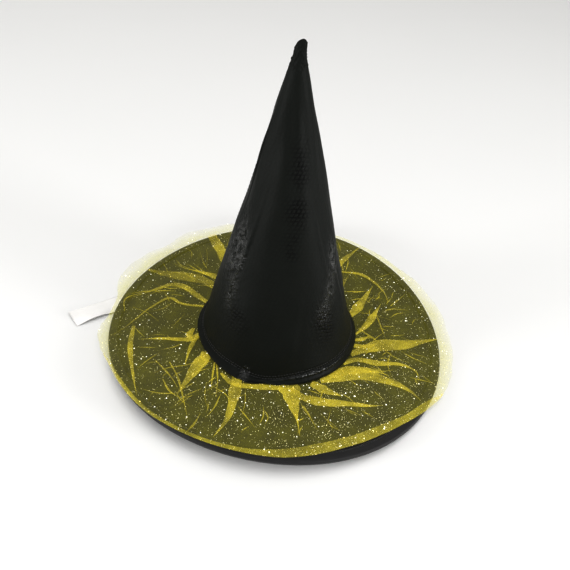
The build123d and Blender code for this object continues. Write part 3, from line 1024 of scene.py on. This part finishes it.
def small_creases():
    """Fine creases between the big folds, most of them pointing roughly at the crown."""
    rng = np.random.default_rng(7)
    tubes = []
    for k in range(CREASE_TRIES):
        bearing = rng.uniform(0, 360)
        limit = float(NET_EDGE(bearing)) - float(HEM_BAND(bearing)) - 4
        radius = rng.uniform(98, min(limit, 186) - 12)
        aim = math.radians(bearing + rng.choice([-1, 1]) * abs(rng.normal(0, 34)))
        length = rng.uniform(10, 42)
        x, y = on_brim(bearing, radius)
        ends = [(x, y), (x + length * MM * math.cos(aim), y + length * MM * math.sin(aim))]
        reach = math.hypot(*ends[1]) / MM
        if reach > min(limit, 187) or reach < 92:
            continue
        bend = rng.normal(0, 0.09) * length * MM
        middle_x = (ends[0][0] + ends[1][0]) / 2 - bend * math.sin(aim)
        middle_y = (ends[0][1] + ends[1][1]) / 2 + bend * math.cos(aim)
        path = smooth_path([ends[0], (middle_x, middle_y), ends[1]], 18)
        width = rng.uniform(0.7, 1.7) * MM
        tubes.append(fold_tube(path, width, 0.4, 0.2, 0.4 * MM, 0.10 * MM, 500 + k))
    return tubes


def front_hem_tube():
    """The net's edge turned under along the front."""
    bearings = np.linspace(201, 342, 220)
    edge, width = NET_EDGE(bearings) * MM, HEM_BAND(bearings) * MM
    across = np.array([-1, -0.96, -0.8, -0.4, 0, 0.4, 0.8, 0.96, 1, 0.7, 0, -0.7])
    on_top = np.array([0] + [1] * 7 + [0] * 4)
    theta = np.radians(bearings)
    points = []
    for k in range(len(bearings)):
        middle, half = edge[k] - width[k] / 2 + 0.4 * MM, max(width[k] / 2, 0.2 * MM)
        radius = middle + across * half
        x, y = radius * math.cos(theta[k]), radius * math.sin(theta[k])
        rim = 0.5 * np.exp(-(((np.abs(across) - 0.9) / 0.12) ** 2))
        z = net_height(x, y) + 0.10 * MM + on_top * (0.45 + rim) * MM * (1 - across**8)
        points.append(np.column_stack([x, y, z]))
    return net_tube(points, len(bearings), slice(1, 8))


def flakes(name, places, material, seed):
    """Six-sided flakes of glitter. Each place is a point and a radius."""
    rng = np.random.default_rng(seed)
    sides = 6
    angle = columns_of(sides)
    rim = np.stack([np.cos(angle), np.sin(angle), 0 * angle], -1)
    points, faces = [], []
    for k, (place, size) in enumerate(places):
        tilt = Vector((rng.normal(0, 0.35), rng.normal(0, 0.35), 1)).normalized()
        turn = np.array(tilt.to_track_quat("Z", "Y").to_matrix())
        thick = 0.05 * MM
        low = (rim * size + (0, 0, -thick)) @ turn.T
        high = (rim * size * 0.94 + (0, 0, thick)) @ turn.T
        start = k * 2 * sides
        points.append(np.vstack([low, high]) + np.array(place))
        faces.append(tuple(start + i for i in range(sides))[::-1])
        faces.append(tuple(start + sides + i for i in range(sides)))
        for i in range(sides):
            j = (i + 1) % sides
            faces.append((start + i, start + j, start + sides + j, start + sides + i))
    return solid(name, np.vstack(points).tolist(), faces, material, smooth=False)


GLITTER_THICK = around(
    [(0, 1.1), (40, 0.8), (90, 0.6), (140, 0.7), (190, 0.7), (230, 0.9), (260, 1.3), (300, 1.7), (340, 1.4)],
    blur=12,
)


def loose_glitter():
    """Places for flakes spread over the net, thickest at the front right."""
    rng = np.random.default_rng(99)
    places = []
    while len(places) < FLAKES:
        bearing = rng.uniform(0, 360)
        edge = float(NET_EDGE(bearing))
        radius = math.sqrt(rng.uniform(89**2, edge**2))
        if rng.uniform(0, 1.7) > float(GLITTER_THICK(bearing)):
            continue
        size = min(0.19 + rng.exponential(0.12), 1.0) * MM
        x, y = on_brim(bearing, radius)
        z = float(net_height(np.array([x]), np.array([y]))[0]) + 0.16 * MM + 0.2 * size
        places.append(((x, y, z), size))
    return places


def fold_glitter(tubes):
    """Places for flakes on the folds, thickest near the crown."""
    rng = np.random.default_rng(98)
    places = []
    for top in (tube.top for tube in tubes):
        rows, columns = top.shape[:2]
        across = np.linalg.norm(top[:, 0] - top[:, -1], axis=-1)
        along = np.linalg.norm(np.diff(top[:, columns // 2], axis=0), axis=-1)
        area = float((across[1:] * along).sum())
        chance = across / across.sum()
        for _ in range(int(area / (3.6 * MM) ** 2)):
            row, column = int(rng.choice(rows, p=chance)), int(rng.integers(0, columns))
            if math.hypot(*top[row, column, :2]) > rng.uniform(95, 260) * MM:
                continue
            size = min(0.17 + rng.exponential(0.13), 0.8) * MM
            places.append((top[row, column] + (0, 0, 0.12 * MM), size))
    return places


# ---- care label -----------------------------------------------------------------------------
LABEL_BEARING, LABEL_SKEW = 172.5, 47.0
LABEL_CAUGHT, LABEL_FOLD, LABEL_LENGTH, LABEL_WIDTH = -17 * MM, 13.5 * MM, 46.5 * MM, 24 * MM


def label_place(reach, side):
    """A place on the label: how far out from the brim's edge along it, and how far to its side."""
    root, aim = math.radians(LABEL_BEARING), math.radians(LABEL_BEARING + LABEL_SKEW)
    x = BRIM_RADIUS * math.cos(root) + reach * math.cos(aim) - side * math.sin(aim)
    y = BRIM_RADIUS * math.sin(root) + reach * math.sin(aim) + side * math.cos(aim)
    return x, y


def sewn_end(side):
    """How far in the label reaches: to its cut end, or to the tape's stitches if they come first."""
    reach = LABEL_CAUGHT
    while math.hypot(*label_place(reach, side)) < BRIM_RADIUS - TAPE_WIDTH + 1.5 * MM:
        reach += 0.2 * MM
    return reach


def build_label():
    """A blank satin ribbon, sewn in askew, that dips to the floor and curls a little."""
    rows, columns = 48, 16
    thick = 0.22 * MM
    low = FLOOR + 0.35 * MM
    points = []
    for layer in (0, 1):
        for share in np.linspace(0, 1, rows):
            for side in np.linspace(-0.5, 0.5, columns):
                first = sewn_end(side * LABEL_WIDTH)
                reach = first + (LABEL_FOLD + LABEL_LENGTH - first) * share
                x, y = label_place(reach, side * LABEL_WIDTH)
                caught = -0.30 * MM + warp(x, y) + 0.05 * MM
                free = smooth_step(0.5 * MM, 12 * MM, math.hypot(x, y) - BRIM_RADIUS)
                far = max(reach - LABEL_FOLD, 0) / LABEL_LENGTH
                front = smooth_step(-0.1, 0.5, side)
                arch = 3.4 * MM * math.sin(math.pi * min(1, far * 1.02)) ** 1.1 * (0.25 + 0.75 * front)
                curl = 3.0 * MM * far**3 * (1 - front)
                lying = low + arch + curl + 1.0 * MM * (1 - far)
                z = caught * (1 - free) + lying * free
                points.append((x, y, z + layer * thick))
    points = np.array(points)
    one, where = grid(rows, columns)
    size = rows * columns
    uv = np.stack([where[..., 0] * (LABEL_LENGTH / rows), where[..., 1] * (LABEL_WIDTH / columns)], -1)
    edge = [*range(columns), *(i * columns + columns - 1 for i in range(1, rows))]
    edge += [(rows - 1) * columns + j for j in range(columns - 2, -1, -1)]
    edge += [i * columns for i in range(rows - 2, 0, -1)]
    rim = [(a, b, b + size, a + size) for a, b in zip(edge, edge[1:] + edge[:1])]
    faces = np.vstack([one, one[:, ::-1] + size, np.array(rim)])
    uvs = np.vstack([uv, uv[:, ::-1], np.zeros((len(rim), 4, 2))])
    if not outward(points, faces):
        faces, uvs = faces[:, ::-1], uvs[:, ::-1]
    return make("care_label_ribbon", points, faces, uvs, LABEL)


# ---- making it all --------------------------------------------------------------------------
def put(piece, slot, *nodes, body="hat"):
    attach(piece, body)
    if nodes:
        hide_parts(*nodes)
    return piece


CAD_LOOKS = {
    "brim_foam": LINING,
    "brim_hoop": WIRE,
    "hoop_sleeve": SLEEVE,
}
for node, material in CAD_LOOKS.items():
    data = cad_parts[node].data
    data.materials.clear()
    data.materials.append(material)

crown = build_crown()
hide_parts("crown_cone", "crown_tip", "crown_hem")
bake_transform(crown)

lining = put(build_lining(), "stiffener", "crown_stiffener")
back_tape = put(build_back_tape(), "binding", "back_seam_tape")
brim_top = put(
    build_brim_sheet("brim_top_felt", BRIM_THICK - CLOTH, BRIM_CLOTH, 91), "brim_cloth", "brim_top_fabric"
)
brim_bottom = put(
    build_brim_sheet("brim_bottom_felt", 0, BRIM_CLOTH, 92), "brim_cloth", "brim_bottom_fabric"
)
edge_tape = put(build_edge_tape(), "binding", "edge_binding")
opening_tape = put(build_opening_tape(), "binding", "opening_tape")
sweatband = put(build_sweatband(), "sweatband", "sweatband")

net = put(build_net(), "tulle", "tulle_overlay")
tubes = big_folds()
pleats = put(join_tubes("tulle_folds", tubes, PLEATS), "tulle")
creases = put(join_tubes("tulle_creases", small_creases(), PLEATS), "tulle")
hem_tube = front_hem_tube()
net_hem = put(join_tubes("tulle_turned_hem", [hem_tube], HEMMED), "tulle")

places = loose_glitter()
# The large flakes get the strongest painted glow.
LARGE_FLAKE = 0.52 * MM
bright = [p for p in places if p[1] > LARGE_FLAKE]
plain = [p for p in places if p[1] <= LARGE_FLAKE]
put(flakes("glitter_flakes", plain, GLITTER, 101), "tulle")
put(flakes("glitter_gold_flakes", fold_glitter([*tubes, hem_tube]), GOLD, 103), "tulle")
put(flakes("glitter_large_flakes", bright, SPARKS, 102), "tulle")

binding_r = BRIM_RADIUS - TAPE_WIDTH + 1.8 * MM
tape_top, tape_low = BRIM_THICK + 0.1 * MM + TAPE, -LABEL_ROOM - TAPE
above = circle_of_stitches(lambda b: binding_r, lambda b: tape_top + 0.02 * MM, 3.4 * MM, 0, 111)
below = circle_of_stitches(lambda b: binding_r, lambda b: tape_low - 0.05 * MM, 3.4 * MM, 0, 112)
put(sew("edge_tape_stitches", above + below, 2.5 * MM, 0.42 * MM), "thread", "binding_thread")


def hem_place(extra):
    """Where a stitch line runs round the crown, just above its hem."""
    def level(bearing):
        radius = HEM_RADIUS(bearing) * MM
        theta = math.radians(bearing)
        lift = warp(radius * math.cos(theta), radius * math.sin(theta))
        return HEM_LEVEL + lift + HEM_RISE(bearing) * MM + extra
    return level


def hem_surface(extra):
    level = hem_place(extra)
    flare = 0.75 * MM * math.exp(-extra / (9 * MM)) - 0.05 * MM
    return lambda bearing: cone_radius(level(bearing)) + flare


def faded_centre(z):
    shift = axis_at(z)
    share = float(smooth_step(HEM_LEVEL, 30 * MM, z))
    return shift[0] * share, shift[1] * share


rows = []
for extra, seed in ((0.3 * MM, 113), (3.0 * MM, 114)):
    rows += circle_of_stitches(
        hem_surface(extra), hem_place(extra), 3.0 * MM, 1.0, seed, faded_centre, lift=False
    )
put(sew("hem_stitches", rows, 2.3 * MM, 0.65 * MM), "thread", "hem_thread")

band_level = 33.2 * MM
band_r = cone_radius(band_level) - 3.6 * MM
inside = circle_of_stitches(
    lambda b: band_r, lambda b: band_level, 3.2 * MM, -1.0, 115, axis_at, lift=False
)
put(sew("sweatband_stitches", inside, 2.3 * MM, 0.4 * MM), "thread", "sweatband_thread")

label = build_label()
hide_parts("care_label", "label_tab")
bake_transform(label)

# ---- floor, light and camera ----------------------------------------------------------------
REACH = 60.0
paper = Look("floor_paper", Roughness=0.8, Specular_IOR_Level=0.2)
paper.colour(paper.mix(paper.noise(paper.place(), 3, 2), (0.84, 0.84, 0.835), (0.86, 0.86, 0.855)))
corners = [(x * REACH, y * REACH, FLOOR) for x, y in ((-1, -1), (1, -1), (1, 1), (-1, 1))]
floor = solid("floor", corners, [(0, 1, 2, 3)], paper.material, smooth=False)

world = bpy.data.worlds.new("studio")
bpy.context.scene.world = world
world.use_nodes = True
sky = world.node_tree
direction = sky.nodes.new("ShaderNodeTexCoord")
parts = sky.nodes.new("ShaderNodeSeparateXYZ")
fade = sky.nodes.new("ShaderNodeMapRange")  # bright walls, and a dimmer ceiling
for socket, number in (("From Min", 0.0), ("From Max", 0.6), ("To Min", 0.65), ("To Max", 0.55)):
    fade.inputs[socket].default_value = number
sky.links.new(direction.outputs["Generated"], parts.inputs[0])
sky.links.new(parts.outputs[2], fade.inputs["Value"])
sky.links.new(fade.outputs["Result"], sky.nodes["Background"].inputs["Strength"])
sky.nodes["Background"].inputs["Color"].default_value = (1.0, 0.99, 0.97, 1)


def soft_light(name, place, target, size, power):
    lamp = bpy.data.lights.new(name, "AREA")
    lamp.shape = "RECTANGLE"
    lamp.size, lamp.size_y = size
    lamp.energy = power
    holder = show(name, lamp)
    holder.location = place
    holder.rotation_euler = (Vector(target) - Vector(place)).to_track_quat("-Z", "Y").to_euler()
    holder.visible_camera = False


soft_light("overhead", (0.1, -0.35, 1.9), (0, 0, 0.1), (2.2, 2.2), 24)
soft_light("left_side", (-2.2, -1.1, 0.48), (0, 0, 0.08), (0.66, 0.44), 36)
soft_light("right_side", (2.2, -0.92, 0.48), (0, 0, 0.08), (0.66, 0.44), 36)

DISTANCE = 0.858  # the camera looks at TARGET from here, this far above the horizon
ELEVATION = math.radians(43.7)
ROLL = math.radians(7.1)  # it was held a little askew
TARGET = Vector((0.003, 0.084, 0.0))
camera_data = bpy.data.cameras.new("camera")
camera_data.sensor_width = 36
camera_data.lens = 46.8
camera = show("camera", camera_data)
camera.location = (0, -DISTANCE * math.cos(ELEVATION), DISTANCE * math.sin(ELEVATION))
aim = (TARGET - camera.location).to_track_quat("-Z", "Y").to_matrix()
camera.rotation_mode = "QUATERNION"
camera.rotation_quaternion = (aim @ Matrix.Rotation(ROLL, 3, "Z")).to_quaternion()
bpy.context.scene.camera = camera
bpy.context.scene.view_settings.view_transform = "Standard"
bpy.context.scene.view_settings.gamma = 0.8  # deeper blacks
